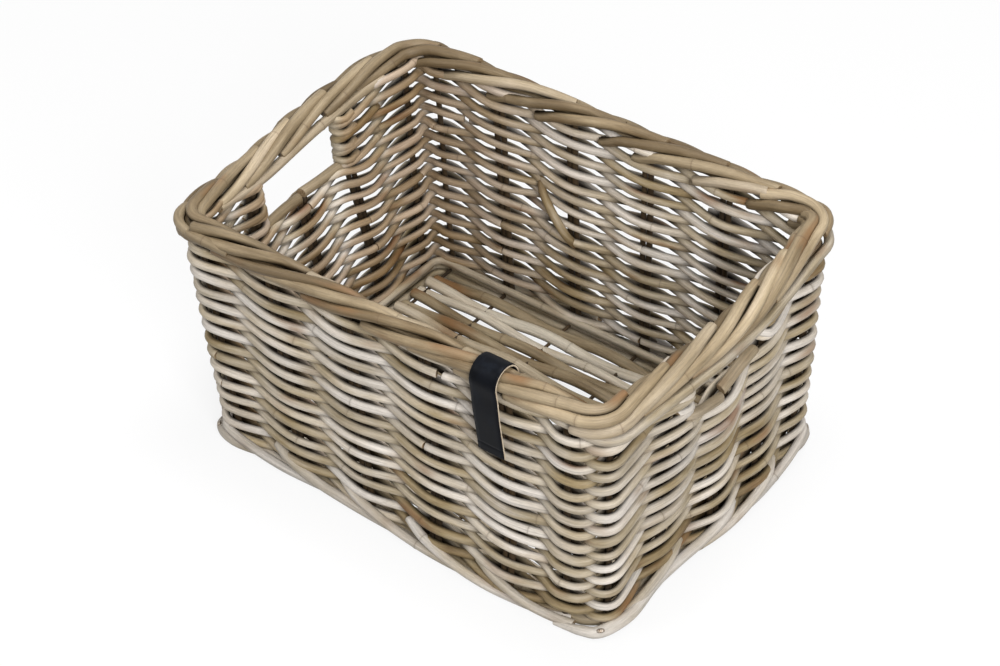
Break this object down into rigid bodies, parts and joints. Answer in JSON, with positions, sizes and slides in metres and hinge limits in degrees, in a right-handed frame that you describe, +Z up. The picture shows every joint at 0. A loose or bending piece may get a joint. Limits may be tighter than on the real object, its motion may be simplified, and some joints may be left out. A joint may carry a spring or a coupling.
{
  "type": "bicycle basket",
  "caption": "Open rectangular basket woven from weathered rattan rods, with handle openings in both short walls and a bare leather strap over the rim.",
  "frame": {"origin": "middle of the footprint, on the ground", "axes": "+X along the long walls, +Y from the front wall with the strap to the back wall, +Z up"},
  "size_m": [0.4526, 0.3215, 0.2423],
  "materials": {
    "weaver_rattan": "weathered grey rattan rods, dry and matt",
    "stake_rattan": "darker rattan rods, dry and matt",
    "rim_rattan": "thick tan rattan rods with a faint sheen",
    "base_rattan": "weathered grey rattan rods, dry and matt",
    "nail_steel": "dull steel",
    "leather": "smooth black leather with pale cut edges"
  },
  "bodies": {
    "root": {"back_corner_stake_1": "stake_rattan", "back_corner_stake_2": "stake_rattan", "back_stake_1": "stake_rattan", "back_stake_2": "stake_rattan", "back_stake_3": "stake_rattan", "back_stake_4": "stake_rattan", "back_weave": "weaver_rattan", "base_hoop": "base_rattan", "base_stick_1": "stake_rattan", "base_stick_2": "stake_rattan", "base_stick_3": "stake_rattan", "base_stick_4": "stake_rattan", "base_stick_5": "stake_rattan", "base_stick_6": "stake_rattan", "base_weave": "base_rattan", "foot_hoop": "base_rattan", "foot_nail_1": "nail_steel", "foot_nail_2": "nail_steel", "foot_nail_3": "nail_steel", "foot_nail_4": "nail_steel", "front_corner_stake_1": "stake_rattan", "front_corner_stake_2": "stake_rattan", "front_stake_1": "stake_rattan", "front_stake_2": "stake_rattan", "front_stake_3": "stake_rattan", "front_stake_4": "stake_rattan", "front_weave": "weaver_rattan", "label_strap": "leather", "left_corner_stake_1": "stake_rattan", "left_corner_stake_2": "stake_rattan", "left_handle_rod": "rim_rattan", "left_handle_sill": "rim_rattan", "left_stake_1": "stake_rattan", "left_stake_2": "stake_rattan", "left_stake_3": "stake_rattan", "left_weave_lower": "weaver_rattan", "left_weave_upper_1": "weaver_rattan", "left_weave_upper_2": "weaver_rattan", "right_corner_stake_1": "stake_rattan", "right_corner_stake_2": "stake_rattan", "right_handle_rod": "rim_rattan", "right_handle_sill": "rim_rattan", "right_stake_1": "stake_rattan", "right_stake_2": "stake_rattan", "right_stake_3": "stake_rattan", "right_weave_lower": "weaver_rattan", "right_weave_upper_1": "weaver_rattan", "right_weave_upper_2": "weaver_rattan", "rim_inner_hoop": "rim_rattan", "rim_outer_hoop": "rim_rattan", "rim_top_hoop": "rim_rattan"}
  },
  "joints": []
}
